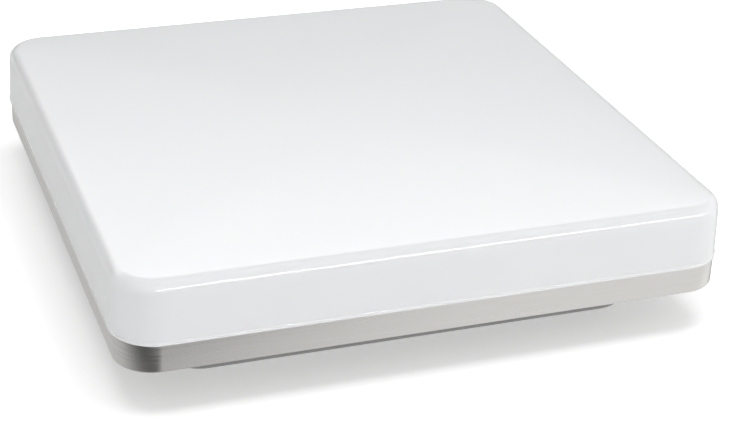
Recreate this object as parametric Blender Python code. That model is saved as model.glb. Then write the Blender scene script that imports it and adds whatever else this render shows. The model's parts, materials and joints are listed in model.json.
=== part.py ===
"""Square surface-mounted LED ceiling light with an opal cover and a nickel trim frame.

The light lies on its back. The ceiling face is z = 0, its centre is the origin, and light leaves along +Z.
All sizes are metres. Run it with: blender --background --python part.py
"""

import math

import bmesh
import bpy
from mathutils import Matrix, Vector

# ---- Driving dimensions ----
GAP = 0.0003  # between pieces that touch on the real light
CORNER_STEPS = 6
ROUND_STEPS = 12

# Nickel trim frame: a C-section band, 300 mm square
FRAME_HALF = 0.150
FRAME_RADIUS = 0.019
FRAME_GAUGE = 0.001
FRAME_BOTTOM = 0.023
FRAME_TOP = 0.037
FRAME_LEDGE = 0.0065

# Pressed steel mounting pan, which holds the frame 23 mm off the ceiling
PAN_HALF = 0.1185
PAN_RADIUS = 0.016
PAN_GAUGE = 0.0008
PAN_BEND = 0.003
PAN_FLANGE_HALF = 0.134
PAN_FLANGE_RADIUS = 0.025
PAN_FLANGE_BOTTOM = FRAME_BOTTOM + FRAME_GAUGE + GAP
PAN_FLANGE_TOP = PAN_FLANGE_BOTTOM + PAN_GAUGE
PAN_CLEARANCE = 0.001  # round the pan, in the frame's opening

# White tray that carries the LED boards
TRAY_HALF = 0.1473
TRAY_RADIUS = 0.016
TRAY_GAUGE = 0.0008
TRAY_BEND = 0.0015
TRAY_BOTTOM = FRAME_TOP + GAP
TRAY_FLOOR = TRAY_BOTTOM + TRAY_GAUGE
TRAY_RIM = 0.046

# Opal cover: 302 mm at the rim and 300 mm above, from the mould's draft
COVER_RIM_HALF = 0.1512
COVER_HALF = 0.150
COVER_RADIUS = 0.0205
COVER_WALL = 0.0023
COVER_EDGE = 0.006
COVER_EDGE_STEPS = 5
COVER_CROWN = 0.001
COVER_CROWN_STEPS = 4
COVER_RIM = FRAME_TOP + GAP
COVER_TOP = 0.068  # where the edge radius ends; the crown rises above it

# Fixings
RIVET_OFFSET = 0.1265
RIVET_HOLE = 0.0019
POST_OFFSET = 0.122
POST_FLATS = 0.007
KEYHOLE_Y = 0.098
KEYHOLE_HEAD = 0.0045
KEYHOLE_SLOT = 0.0026
KEYHOLE_TRAVEL = 0.012
ENTRY = (0.0, -0.022)  # the ceiling cable comes in here
ENTRY_RADIUS = 0.009
ENTRY_RECESS = 0.015
ENTRY_LIFT = 0.0016
BOSS_RADIUS = 0.004  # raised threaded bosses in the pan
BOSS_TOP = 0.005
BOSS_HOLE = 0.0018
BOSS_FLOOR = 0.0012

# LED boards
BOARD_ROWS = (-0.099, -0.033, 0.033, 0.099)
BOARD_HALF = (0.132, 0.008)
BOARD_BOTTOM = TRAY_FLOOR + GAP
BOARD_TOP = BOARD_BOTTOM + 0.0012
LED_COUNT = 11
LED_PITCH = 0.024
LED_SIZE = (0.0035, 0.0028, 0.0008)
BOARD_SCREW_X = 0.108
SOCKET_X = 0.1275
SOCKET_SIZE = (0.006, 0.006, 0.0032)
SOCKET_END = SOCKET_X + SOCKET_SIZE[0] / 2 + GAP
LINK_HEIGHT = BOARD_TOP + 0.0016
BOARD_SINK = 0.0004  # how far the packages are sunk into their board
SCREW_HOLE = 0.0013

# LED driver
DRIVER = (0.0, 0.062)
DRIVER_HALF = (0.059, 0.023)
DRIVER_BOTTOM = PAN_GAUGE + GAP
DRIVER_SEAM = 0.0213
DRIVER_TOP = 0.0234
DRIVER_WALL = 0.0016
DRIVER_RADIUS = 0.003
DRIVER_BOARD = 0.0045
DRIVER_EAR = (0.066, 0.012)
DRIVER_EAR_HALF = 0.0055
DRIVER_EAR_Z = (BOSS_TOP + GAP, BOSS_TOP + GAP + 0.002)
DRIVER_LEAD_Z = 0.013
DRIVER_LEAD_Y = 0.012
DRIVER_SLOT = (0.003, 0.0045, 0.0022)
DRIVER_STANDOFF = (0.050, 0.014)
VENT_COUNT = 7
VENT_PITCH = 0.010
VENT_HALF = (0.001, 0.011)

# Supply terminal block, with a release button on each pole
TERMINAL = (0.062, -0.022)
TERMINAL_HALF = (0.012, 0.018)
TERMINAL_TOP = 0.0173
POLE_PITCH = 0.011
POLES = ("earth", "neutral", "live")
BUTTON_HALF = (0.0026, 0.0021)
BUTTON_BOTTOM = 0.013
BUTTON_TOP = 0.0193
BUTTON_TRAVEL = 0.0015
WIRE_ENTRY_Z = 0.007
WIRE_ENTRY_RADIUS = 0.0019
WIRE_ENTRY_DEPTH = 0.0085
WIRE_INSERTION = 0.004
EARTH_POINT = (0.088, -0.064)

# Insulated leads
LEAD_RADIUS = 0.0013
TWIN_RADIUS = 0.0017
LEAD_HOLE = (-0.106, 0.080)  # where the LED lead comes up through the tray
LEAD_HOLE_RADIUS = 0.0045

# Spring clips that grip the cover
CLIP_WIDTH = 0.012
CLIP_GAUGE = 0.0005
CLIP_PIVOT = (TRAY_HALF - TRAY_GAUGE - GAP - CLIP_GAUGE / 2, TRAY_FLOOR + GAP)


def clear_scene():
    for obj in list(bpy.data.objects):
        bpy.data.objects.remove(obj)


def finish(name, colour, roughness, metallic=0.0):
    """A Principled material."""
    made = bpy.data.materials.new(name)
    made.use_nodes = True
    shader = made.node_tree.nodes["Principled BSDF"]
    shader.inputs["Base Color"].default_value = (*colour, 1)
    shader.inputs["Roughness"].default_value = roughness
    shader.inputs["Metallic"].default_value = metallic
    made.diffuse_color = (*colour, 1)
    return made


# ---- Shapes ----
def rounded_rect(half_x, half_y, radius, z):
    """A level loop of points, anticlockwise seen from above."""
    points = []
    for quarter, (side_x, side_y) in enumerate(((1, 1), (-1, 1), (-1, -1), (1, -1))):
        for step in range(CORNER_STEPS + 1):
            angle = math.radians(90 * (quarter + step / CORNER_STEPS))
            x = side_x * (half_x - radius) + radius * math.cos(angle)
            y = side_y * (half_y - radius) + radius * math.sin(angle)
            points.append((x, y, z))
    return points


def square(half, radius, z):
    return rounded_rect(half, half, radius, z)


def circle(radius, z, centre=(0, 0), steps=ROUND_STEPS, start=0.0):
    angles = [start + math.tau * step / steps for step in range(steps)]
    return [(centre[0] + radius * math.cos(a), centre[1] + radius * math.sin(a), z) for a in angles]


def add_loft(bm, loops, ring=False):
    """Skins loops of equal count. A ring closes on its first loop; otherwise the two ends are capped."""
    rows = [[bm.verts.new(point) for point in loop] for loop in loops]
    pairs = list(zip(rows, rows[1:]))
    if ring:
        pairs.append((rows[-1], rows[0]))
    else:
        bm.faces.new(rows[0])
        bm.faces.new(rows[-1])
    count = len(rows[0])
    for low, high in pairs:
        for i in range(count):
            j = (i + 1) % count
            bm.faces.new((low[i], low[j], high[j], high[i]))


def add_box(bm, low, high):
    size = [b - a for a, b in zip(low, high)]
    centre = [(a + b) / 2 for a, b in zip(low, high)]
    bmesh.ops.create_cube(bm, size=1, matrix=Matrix.Translation(centre) @ Matrix.Diagonal((*size, 1)))


def place(name, bm, material=None, location=(0, 0, 0), turn=0.0):
    """Turns the bmesh into an object. Round faces are smooth and sharp corners stay sharp."""
    bmesh.ops.recalc_face_normals(bm, faces=bm.faces)
    mesh = bpy.data.meshes.new(name)
    bm.to_mesh(mesh)
    bm.free()
    mesh.shade_smooth()
    mesh.set_sharp_from_angle(angle=math.radians(35))
    obj = bpy.data.objects.new(name, mesh)
    obj.location = location
    obj.rotation_euler.z = turn
    bpy.context.collection.objects.link(obj)
    if material:
        mesh.materials.append(material)
    return obj


def loft(name, loops, material=None, ring=False, **where):
    bm = bmesh.new()
    add_loft(bm, loops, ring)
    return place(name, bm, material, **where)


def lathe(name, profile, material, centre=(0, 0), ring=False, **where):
    """Turns (radius, z) points about the vertical line through centre."""
    return loft(name, [circle(r, z, centre) for r, z in profile], material, ring, **where)


def boxes(name, corners, material=None):
    bm = bmesh.new()
    for low, high in corners:
        add_box(bm, low, high)
    return place(name, bm, material)


def rods(name, centres, radius, bottom, top):
    """Upright cylinders in one mesh, used as a helper."""
    bm = bmesh.new()
    for centre in centres:
        add_loft(bm, [circle(radius, bottom, centre), circle(radius, top, centre)])
    return place(name, bm)


def combine(obj, helper, operation):
    """Adds a Boolean and keeps its helper out of the model."""
    modifier = obj.modifiers.new(helper.name, "BOOLEAN")
    modifier.operation = operation
    modifier.solver = "EXACT"
    modifier.object = helper
    helper.hide_render = True
    helper.display_type = "WIRE"


def cut(obj, helper):
    combine(obj, helper, "DIFFERENCE")


def fuse(obj, helper):
    combine(obj, helper, "UNION")


def lead(name, points, material, radius=LEAD_RADIUS):
    """An insulated wire through these points."""
    curve = bpy.data.curves.new(name, "CURVE")
    curve.dimensions = "3D"
    curve.bevel_depth = radius
    curve.bevel_resolution = 1
    curve.resolution_u = 4
    curve.use_fill_caps = True
    spline = curve.splines.new("BEZIER")
    spline.bezier_points.add(len(points) - 1)
    for knot, point in zip(spline.bezier_points, points):
        knot.co = point
        knot.handle_left_type = "AUTO"
        knot.handle_right_type = "AUTO"
    obj = bpy.data.objects.new(name, curve)
    bpy.context.collection.objects.link(obj)
    curve.materials.append(material)
    return obj


def corners_of(offset):
    return [(x * offset, y * offset) for x in (-1, 1) for y in (-1, 1)]


def screw(name, centre, under_head, tip, shank, head, material):
    """A pan-head screw with a cross recess cut as a square socket."""
    rise = 0.6 * head
    obj = lathe(
        name,
        [
            (shank * 0.6, tip),
            (shank, tip + shank * 0.5),
            (shank, under_head),
            (head, under_head),
            (head, under_head + rise * 0.5),
            (head * 0.7, under_head + rise),
        ],
        material,
        centre,
    )
    reach = head * 0.22
    top = under_head + rise
    low = (centre[0] - reach, centre[1] - reach, top - rise * 0.5)
    high = (centre[0] + reach, centre[1] + reach, top + rise)
    cut(obj, boxes(name + "_recess", [(low, high)]))
    return obj


# ---- Housing: the pan and the frame ----
def trim_frame(nickel):
    """C-section band: the cover sits on its top ledge and the pan hangs in its bottom opening."""
    inner = FRAME_HALF - FRAME_GAUGE
    inner_radius = FRAME_RADIUS - FRAME_GAUGE
    ledge = FRAME_HALF - FRAME_LEDGE
    ledge_radius = FRAME_RADIUS - FRAME_LEDGE
    opening = PAN_HALF + PAN_CLEARANCE
    opening_radius = PAN_RADIUS + PAN_CLEARANCE
    frame = loft(
        "trim_frame",
        [
            square(FRAME_HALF, FRAME_RADIUS, FRAME_BOTTOM),
            square(FRAME_HALF, FRAME_RADIUS, FRAME_TOP),
            square(ledge, ledge_radius, FRAME_TOP),
            square(ledge, ledge_radius, FRAME_TOP - FRAME_GAUGE),
            square(inner, inner_radius, FRAME_TOP - FRAME_GAUGE),
            square(inner, inner_radius, FRAME_BOTTOM + FRAME_GAUGE),
            square(opening, opening_radius, FRAME_BOTTOM + FRAME_GAUGE),
            square(opening, opening_radius, FRAME_BOTTOM),
        ],
        nickel,
        ring=True,
    )
    span = (FRAME_BOTTOM - FRAME_GAUGE, FRAME_BOTTOM + 2 * FRAME_GAUGE)
    cut(frame, rods("frame_rivet_holes", rivet_points(), RIVET_HOLE, *span))


def rivet_points():
    return [(RIVET_OFFSET, 0), (0, RIVET_OFFSET), (-RIVET_OFFSET, 0), (0, -RIVET_OFFSET)]


def keyhole(y):
    """Outline of a keyhole: a round hole for the screw head and a slot along +X for its shank."""
    head_x, slot_x = -KEYHOLE_TRAVEL / 2, KEYHOLE_TRAVEL / 2
    start = math.asin(KEYHOLE_SLOT / KEYHOLE_HEAD)
    points = []
    for step in range(ROUND_STEPS + 1):
        a = start + (math.tau - 2 * start) * step / ROUND_STEPS
        points.append((head_x + KEYHOLE_HEAD * math.cos(a), y + KEYHOLE_HEAD * math.sin(a)))
    for step in range(CORNER_STEPS + 1):
        a = math.pi * (step / CORNER_STEPS - 0.5)
        points.append((slot_x + KEYHOLE_SLOT * math.cos(a), y + KEYHOLE_SLOT * math.sin(a)))
    return points


def pan_bend(radius, angles):
    """Loops up the rounded corner between the pan's back and its wall, at this radius of bend."""
    centre, corner = PAN_HALF - PAN_BEND, PAN_RADIUS - PAN_BEND
    loops = []
    for a in angles:
        out = radius * math.sin(a)
        loops.append(square(centre + out, corner + out, PAN_BEND - radius * math.cos(a)))
    return loops


def mounting_pan(white):
    """Pressed pan: flat back with a dished cable entry, and a flange that sits inside the frame."""
    angles = [math.radians(angle) for angle in (0, 30, 60, 90)]
    flange = [
        square(PAN_HALF, PAN_RADIUS, PAN_FLANGE_BOTTOM),
        square(PAN_FLANGE_HALF, PAN_FLANGE_RADIUS, PAN_FLANGE_BOTTOM),
        square(PAN_FLANGE_HALF, PAN_FLANGE_RADIUS, PAN_FLANGE_TOP),
        square(PAN_HALF - PAN_GAUGE, PAN_RADIUS - PAN_GAUGE, PAN_FLANGE_TOP),
    ]
    inner = pan_bend(PAN_BEND - PAN_GAUGE, reversed(angles))
    pan = loft("mounting_pan", pan_bend(PAN_BEND, angles) + flange + inner, white)

    below, middle = -PAN_GAUGE, PAN_GAUGE / 2
    dish = rods("pan_entry_dish", [ENTRY], ENTRY_RECESS + 1.2 * PAN_GAUGE, middle, ENTRY_LIFT + PAN_GAUGE)
    fuse(pan, dish)
    cut(pan, rods("pan_entry_recess", [ENTRY], ENTRY_RECESS, below, ENTRY_LIFT))
    cut(pan, rods("pan_entry_hole", [ENTRY], ENTRY_RADIUS, below, ENTRY_LIFT + 2 * PAN_GAUGE))
    bosses = driver_ears() + [EARTH_POINT]
    fuse(pan, rods("pan_bosses", bosses, BOSS_RADIUS, middle, BOSS_TOP))
    cut(pan, rods("pan_boss_holes", bosses, BOSS_HOLE, BOSS_FLOOR, BOSS_TOP + PAN_GAUGE))
    span = (PAN_FLANGE_BOTTOM - PAN_GAUGE, PAN_FLANGE_TOP + PAN_GAUGE)
    cut(pan, rods("pan_rivet_holes", rivet_points(), RIVET_HOLE, *span))
    for name, y in (("front", -KEYHOLE_Y), ("rear", KEYHOLE_Y)):
        loops = [[(*point, z) for point in keyhole(y)] for z in (below, 2 * PAN_GAUGE)]
        cut(pan, loft(f"keyhole_cutter_{name}", loops))


def frame_rivets(steel):
    """Blind rivets that hold the pan's flange down on the frame."""
    shank, head, tail = 0.0016, 0.0033, 0.0026
    low = FRAME_BOTTOM - GAP
    high = PAN_FLANGE_TOP + GAP
    profile = [
        (head * 0.55, low - 0.0013),
        (head, low - 0.0005),
        (head, low),
        (shank, low),
        (shank, high),
        (tail, high),
        (tail, high + 0.0014),
        (tail * 0.6, high + 0.002),
    ]
    for index, centre in enumerate(rivet_points(), 1):
        lathe(f"frame_rivet_{index}", profile, steel, centre)


def tray_posts(steel):
    """Hexagonal threaded posts on the pan's flange, which take the tray screws."""
    across_corners = POST_FLATS / math.sqrt(3)
    bottom = PAN_FLANGE_TOP + GAP
    top = TRAY_BOTTOM - GAP
    for index, centre in enumerate(corners_of(POST_OFFSET), 1):
        hexagons = [circle(across_corners, z, centre, steps=6) for z in (bottom, top)]
        post = loft(f"tray_post_{index}", hexagons, steel)
        cut(post, rods(f"post_thread_{index}", [centre], 0.0023, bottom + 0.0015, top + 0.001))


def cable_grommet(rubber):
    bore, groove, lip = 0.005, ENTRY_RADIUS - 0.0004, 0.0118
    low, high = ENTRY_LIFT - GAP, ENTRY_LIFT + PAN_GAUGE + GAP
    profile = [
        (bore, GAP),
        (lip, GAP),
        (lip, low),
        (groove, low),
        (groove, high),
        (lip, high),
        (lip, high + 0.0012),
        (0.0085, high + 0.0022),
        (0.0068, high + 0.0052),
        (bore, high + 0.0052),
    ]
    lathe("cable_grommet", profile, rubber, ENTRY, ring=True)


# ---- Housing: the driver ----
def driver_ears():
    """The two fixing points, at opposite corners of the driver."""
    return [(DRIVER[0] + side * DRIVER_EAR[0], DRIVER[1] + side * DRIVER_EAR[1]) for side in (-1, 1)]


def driver_box(low, high):
    """A box given from the driver's centre in x and y, and from the ceiling in z."""
    x, y = DRIVER
    return (x + low[0], y + low[1], low[2]), (x + high[0], y + high[1], high[2])


def driver_loop(inset, z):
    radius = max(DRIVER_RADIUS - inset, 0.001)
    points = rounded_rect(DRIVER_HALF[0] - inset, DRIVER_HALF[1] - inset, radius, z)
    return [(x + DRIVER[0], y + DRIVER[1], z) for x, y, z in points]


def driver_case(plastic):
    """Open-topped case with a fixing ear at each end, board standoffs and a lead slot at each end."""
    case = loft(
        "driver_case",
        [
            driver_loop(0, DRIVER_BOTTOM),
            driver_loop(0, DRIVER_SEAM),
            driver_loop(DRIVER_WALL, DRIVER_SEAM),
            driver_loop(DRIVER_WALL, DRIVER_BOTTOM + DRIVER_WALL),
        ],
        plastic,
    )
    ears, slots = [], []
    root, tip = DRIVER_HALF[0] - DRIVER_WALL / 2, DRIVER_EAR[0] + DRIVER_EAR_HALF
    low_z, high_z = DRIVER_EAR_Z
    slot_x, slot_y, slot_z = DRIVER_SLOT
    for side in (-1, 1):
        ear_y, slot_at = side * DRIVER_EAR[1], -side * DRIVER_LEAD_Y
        near, far = sorted((side * root, side * tip))
        low, high = (near, ear_y - DRIVER_EAR_HALF, low_z), (far, ear_y + DRIVER_EAR_HALF, high_z)
        ears.append(driver_box(low, high))
        wall = side * DRIVER_HALF[0]
        low = (wall - slot_x, slot_at - slot_y, DRIVER_LEAD_Z - slot_z)
        high = (wall + slot_x, slot_at + slot_y, DRIVER_LEAD_Z + slot_z)
        slots.append(driver_box(low, high))
    fuse(case, boxes("driver_ear_blocks", ears))
    cut(case, rods("driver_ear_holes", driver_ears(), 0.0017, low_z - 0.001, high_z + 0.001))
    standoffs = [
        (DRIVER[0] + x * DRIVER_STANDOFF[0], DRIVER[1] + y * DRIVER_STANDOFF[1])
        for x in (-1, 1)
        for y in (-1, 1)
    ]
    fuse(case, rods("driver_standoffs", standoffs, 0.002, DRIVER_BOTTOM + 0.001, DRIVER_BOARD - GAP))
    cut(case, boxes("driver_lead_slots", slots))


def driver_lid(plastic):
    """Flat lid with a lip that plugs into the case, and a row of vents."""
    bottom = DRIVER_SEAM + GAP
    lip_bottom = bottom - 0.003
    lip_outer = DRIVER_WALL + GAP
    lip_inner = lip_outer + 0.0012
    chamfer = 0.0006
    lid = loft(
        "driver_lid",
        [
            driver_loop(lip_inner, bottom),
            driver_loop(lip_inner, lip_bottom),
            driver_loop(lip_outer, lip_bottom),
            driver_loop(lip_outer, bottom),
            driver_loop(0, bottom),
            driver_loop(0, DRIVER_TOP - chamfer),
            driver_loop(chamfer, DRIVER_TOP),
        ],
        plastic,
    )
    slots = []
    half_x, half_y = VENT_HALF
    for index in range(VENT_COUNT):
        x = (index - (VENT_COUNT - 1) / 2) * VENT_PITCH
        low, high = (x - half_x, -half_y, bottom - 0.001), (x + half_x, half_y, DRIVER_TOP + 0.001)
        slots.append(driver_box(low, high))
    cut(lid, boxes("driver_vent_slots", slots))


def capacitor(name, at, radius, base, height, sleeve):
    """Electrolytic can: a rolled groove near its foot and a crimped top edge."""
    profile = [
        (radius * 0.92, base),
        (radius, base + 0.0006),
        (radius, base + 0.0012),
        (radius * 0.93, base + 0.0018),
        (radius, base + 0.0024),
        (radius, base + height - 0.0006),
        (radius * 0.9, base + height),
    ]
    lathe(name, profile, sleeve, (DRIVER[0] + at[0], DRIVER[1] + at[1]))


def driver_inside(board_green, ferrite, sleeve):
    """Circuit board, transformer and the two electrolytic capacitors."""
    half_x, half_y, board_top = 0.0555, 0.0195, DRIVER_BOARD + 0.0016
    board = driver_box((-half_x, -half_y, DRIVER_BOARD), (half_x, half_y, board_top))
    boxes("driver_board", [board], board_green)
    base = board_top + GAP
    bobbin = driver_box((-0.005, -0.010, base), (0.017, 0.010, base + 0.0035))
    core = driver_box((-0.001, -0.0115, base + 0.003), (0.013, 0.0115, base + 0.0115))
    transformer = boxes("driver_transformer", [bobbin], ferrite)
    fuse(transformer, boxes("transformer_core", [core]))
    capacitor("driver_input_capacitor", (-0.026, 0.004), 0.0062, base, 0.0125, sleeve)
    capacitor("driver_output_capacitor", (0.034, -0.003), 0.005, base, 0.0115, sleeve)


# ---- Housing: supply terminals and leads ----
def pole_y(index):
    return TERMINAL[1] + (index - 1) * POLE_PITCH


def wire_entry(side, y):
    """End circles of one wire hole, which runs in from the block's side at this y."""
    x = TERMINAL[0] + side * TERMINAL_HALF[0]
    ends = []
    for depth in (-WIRE_ENTRY_DEPTH, 0.001):
        points = circle(WIRE_ENTRY_RADIUS, 0, steps=12)
        ends.append([(x + side * depth, y + across, WIRE_ENTRY_Z + up) for across, up, _ in points])
    return ends


def terminal_block(plastic):
    """Push-in block: a pocket for each pole's button, and a wire hole at both sides of each pole."""
    x, y = TERMINAL
    half_x, half_y = TERMINAL_HALF
    chamfer, corner = 0.001, 0.0015
    levels = ((0, PAN_GAUGE + GAP), (0, TERMINAL_TOP - chamfer), (chamfer, TERMINAL_TOP))
    outline = []
    for inset, z in levels:
        loop = rounded_rect(half_x - inset, half_y - inset, corner, z)
        outline.append([(px + x, py + y, pz) for px, py, pz in loop])
    block = loft("terminal_block", outline, plastic)
    pockets = []
    wire_holes = bmesh.new()
    reach_x, reach_y = BUTTON_HALF[0] + GAP, BUTTON_HALF[1] + GAP
    floor = BUTTON_BOTTOM - BUTTON_TRAVEL - GAP
    for index in range(len(POLES)):
        pole = pole_y(index)
        low = (x - reach_x, pole - reach_y, floor)
        high = (x + reach_x, pole + reach_y, TERMINAL_TOP + 0.001)
        pockets.append((low, high))
        for side in (-1, 1):
            add_loft(wire_holes, wire_entry(side, pole))
    cut(block, boxes("button_pockets", pockets))
    cut(block, place("wire_entry_cutters", wire_holes))


def terminal_buttons(orange):
    """Each button's origin is on its line of travel."""
    height, bevel = BUTTON_TOP - BUTTON_BOTTOM, 0.0005
    half_x, half_y = BUTTON_HALF
    loops = [
        rounded_rect(half_x, half_y, bevel, 0),
        rounded_rect(half_x, half_y, bevel, height - bevel),
        rounded_rect(half_x - bevel, half_y - bevel, bevel * 0.8, height),
    ]
    for index, pole in enumerate(POLES):
        at = (TERMINAL[0], pole_y(index), BUTTON_BOTTOM)
        loft(f"release_button_{pole}", loops, orange, location=at)


def earth_point(brass, steel, green):
    """Ring tag, its screw and the short lead back to the terminal block."""
    x, y = EARTH_POINT
    bottom = BOSS_TOP + GAP
    top = bottom + 0.0008
    bore, rim = 0.0021, 0.0042
    ring = [(bore, bottom), (rim, bottom), (rim, top), (bore, top)]
    tag = lathe("earth_tag", ring, brass, EARTH_POINT, ring=True)
    barrel_half, barrel_start, barrel_end, barrel_height = 0.0016, 0.0036, 0.0105, 0.0026
    low = (x - barrel_half, y + barrel_start, bottom)
    high = (x + barrel_half, y + barrel_end, bottom + barrel_height)
    fuse(tag, boxes("earth_tag_barrel", [(low, high)]))
    screw("earth_screw", EARTH_POINT, top + GAP, BOSS_FLOOR + 0.0006, 0.0015, 0.0036, steel)
    start = TERMINAL[0] + TERMINAL_HALF[0] - WIRE_INSERTION
    points = [
        (start, pole_y(0), WIRE_ENTRY_Z),
        (start + 0.007, pole_y(0), WIRE_ENTRY_Z),
        (x + 0.002, pole_y(0) - 0.006, WIRE_ENTRY_Z),
        (x, y + 0.018, bottom + barrel_height / 2),
        (x, y + barrel_end + GAP, bottom + barrel_height / 2),
    ]
    lead("earth_lead", points, green)


def supply_leads(blue, brown):
    """Neutral and live, from the terminal block round to the driver's right-hand end."""
    start = TERMINAL[0] + TERMINAL_HALF[0] - WIRE_INSERTION
    inside_driver = DRIVER[0] + DRIVER_HALF[0] - 0.003
    spacing = 0.0034
    for order, (name, colour) in enumerate((("neutral_lead", blue), ("live_lead", brown))):
        pole = pole_y(order + 1)
        run_x = 0.097 - order * spacing
        slot_y = DRIVER[1] - DRIVER_LEAD_Y + (0.5 - order) * spacing
        points = [
            (start, pole, WIRE_ENTRY_Z),
            (start + 0.008, pole, WIRE_ENTRY_Z),
            (run_x, pole + 0.018, WIRE_ENTRY_Z),
            (run_x, 0.029 - order * spacing, 0.009),
            (inside_driver + 0.016, slot_y, DRIVER_LEAD_Z),
            (inside_driver, slot_y, DRIVER_LEAD_Z),
        ]
        lead(name, points, colour)


def led_lead(white):
    """Twin lead from the driver to the tray's hole, with a loop of slack for lifting the tray."""
    start_x = DRIVER[0] - DRIVER_HALF[0] + 0.003
    start_y = DRIVER[1] + DRIVER_LEAD_Y
    hole_x, hole_y = LEAD_HOLE
    points = [
        (start_x, start_y, DRIVER_LEAD_Z),
        (start_x - 0.014, start_y, DRIVER_LEAD_Z),
        (hole_x + 0.016, start_y - 0.012, 0.016),
        (hole_x + 0.002, start_y - 0.002, 0.021),
        (hole_x, hole_y, 0.028),
        (hole_x, hole_y, TRAY_BOTTOM - 0.0022),
    ]
    lead("led_lead", points, white, radius=TWIN_RADIUS)


# ---- Tray ----
def tray_bend(radius, angles):
    """Loops up the rounded corner between the tray's floor and its rim, at this radius of bend."""
    centre, corner = TRAY_HALF - TRAY_BEND, TRAY_RADIUS - TRAY_BEND
    loops = []
    for a in angles:
        out = radius * math.sin(a)
        loops.append(square(centre + out, corner + out, TRAY_BOTTOM + TRAY_BEND - radius * math.cos(a)))
    return loops


def led_tray(white):
    """Shallow folded tray with holes for its screws, the boards' screws and the lead."""
    angles = [math.radians(angle) for angle in (0, 45, 90)]
    rim = [
        square(TRAY_HALF, TRAY_RADIUS, TRAY_RIM),
        square(TRAY_HALF - TRAY_GAUGE, TRAY_RADIUS - TRAY_GAUGE, TRAY_RIM),
    ]
    inner = tray_bend(TRAY_BEND - TRAY_GAUGE, reversed(angles))
    tray = loft("led_tray", tray_bend(TRAY_BEND, angles) + rim + inner, white)
    span = (TRAY_BOTTOM - TRAY_GAUGE, TRAY_FLOOR + TRAY_GAUGE)
    cut(tray, rods("tray_screw_holes", corners_of(POST_OFFSET), 0.0023, *span))
    cut(tray, rods("tray_board_holes", board_screw_points(), SCREW_HOLE, *span))
    cut(tray, rods("tray_lead_hole", [LEAD_HOLE], LEAD_HOLE_RADIUS, *span))


def board_screw_points():
    return [(side * BOARD_SCREW_X, row) for row in BOARD_ROWS for side in (-1, 1)]


def led_boards(mask):
    """Each board carries a row of LED packages and a socket at each end."""
    half_x, half_y = BOARD_HALF
    packages = [((n - (LED_COUNT - 1) / 2) * LED_PITCH, LED_SIZE) for n in range(LED_COUNT)]
    packages += [(side * SOCKET_X, SOCKET_SIZE) for side in (-1, 1)]
    for index, row in enumerate(BOARD_ROWS, 1):
        slab = ((-half_x, row - half_y, BOARD_BOTTOM), (half_x, row + half_y, BOARD_TOP))
        board = boxes(f"led_board_{index}", [slab], mask)
        corners = []
        for x, (length, width, height) in packages:
            low = (x - length / 2, row - width / 2, BOARD_TOP - BOARD_SINK)
            high = (x + length / 2, row + width / 2, BOARD_TOP + height)
            corners.append((low, high))
        fuse(board, boxes(f"board_packages_{index}", corners))
        holes = [(side * BOARD_SCREW_X, row) for side in (-1, 1)]
        cut(board, rods(f"board_holes_{index}", holes, SCREW_HOLE, BOARD_BOTTOM - 0.001, BOARD_TOP + 0.001))


def board_links(white):
    """Short twin jumpers that chain the boards, at the right, left and right ends in turn."""
    for index, (row, after) in enumerate(zip(BOARD_ROWS, BOARD_ROWS[1:]), 1):
        side = 1 if index % 2 else -1
        bulge = 0.0065
        points = [
            (side * SOCKET_END, row, LINK_HEIGHT),
            (side * (SOCKET_END + 0.003), row, LINK_HEIGHT),
            (side * (SOCKET_END + bulge), row + 0.008, LINK_HEIGHT),
            (side * (SOCKET_END + bulge), after - 0.008, LINK_HEIGHT),
            (side * (SOCKET_END + 0.003), after, LINK_HEIGHT),
            (side * SOCKET_END, after, LINK_HEIGHT),
        ]
        lead(f"board_link_{index}", points, white, radius=0.001)


def tray_feed(white, rubber):
    """The lead's last stretch, from the tray's grommet to the last board's left-hand socket."""
    x, y = LEAD_HOLE
    row = BOARD_ROWS[-1]
    points = [
        (x, y, TRAY_BOTTOM - 0.0012),
        (x, y, TRAY_FLOOR + 0.002),
        (x - 0.012, y + 0.001, LINK_HEIGHT + 0.0006),
        (-SOCKET_END - 0.007, row - 0.009, LINK_HEIGHT),
        (-SOCKET_END - 0.004, row, LINK_HEIGHT),
        (-SOCKET_END, row, LINK_HEIGHT),
    ]
    lead("feed_lead", points, white, radius=0.0012)
    bore, groove, lip, rim = 0.0022, LEAD_HOLE_RADIUS - GAP, 0.0062, 0.001
    low, high = TRAY_BOTTOM - GAP, TRAY_FLOOR + GAP
    profile = [
        (bore, low - rim),
        (lip, low - rim),
        (lip, low),
        (groove, low),
        (groove, high),
        (lip, high),
        (lip, high + rim),
        (bore, high + rim),
    ]
    lathe("tray_grommet", profile, rubber, LEAD_HOLE, ring=True)


def cover_clips(spring_steel):
    """Bent spring strips inside the tray's rim, whose noses press on the cover."""
    path = [(0, 0), (0, 0.0082), (0.0009, 0.0090), (0.0017, 0.0097), (0.0018, 0.0104), (0.0007, 0.0118)]
    front, back = [], []
    for index, (y, z) in enumerate(path):
        before, after = path[max(index - 1, 0)], path[min(index + 1, len(path) - 1)]
        along = Vector((after[0] - before[0], after[1] - before[1])).normalized() * CLIP_GAUGE / 2
        front.append((y + along.y, z - along.x))
        back.append((y - along.y, z + along.x))
    outline = front + back[::-1]
    loops = [[(x, y, z) for y, z in outline] for x in (-CLIP_WIDTH / 2, CLIP_WIDTH / 2)]
    radius, height = CLIP_PIVOT
    for index in range(4):
        turn = math.radians(90 * index)
        where = (-radius * math.sin(turn), radius * math.cos(turn), height)
        loft(f"cover_clip_{index + 1}", loops, spring_steel, location=where, turn=turn)


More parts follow.
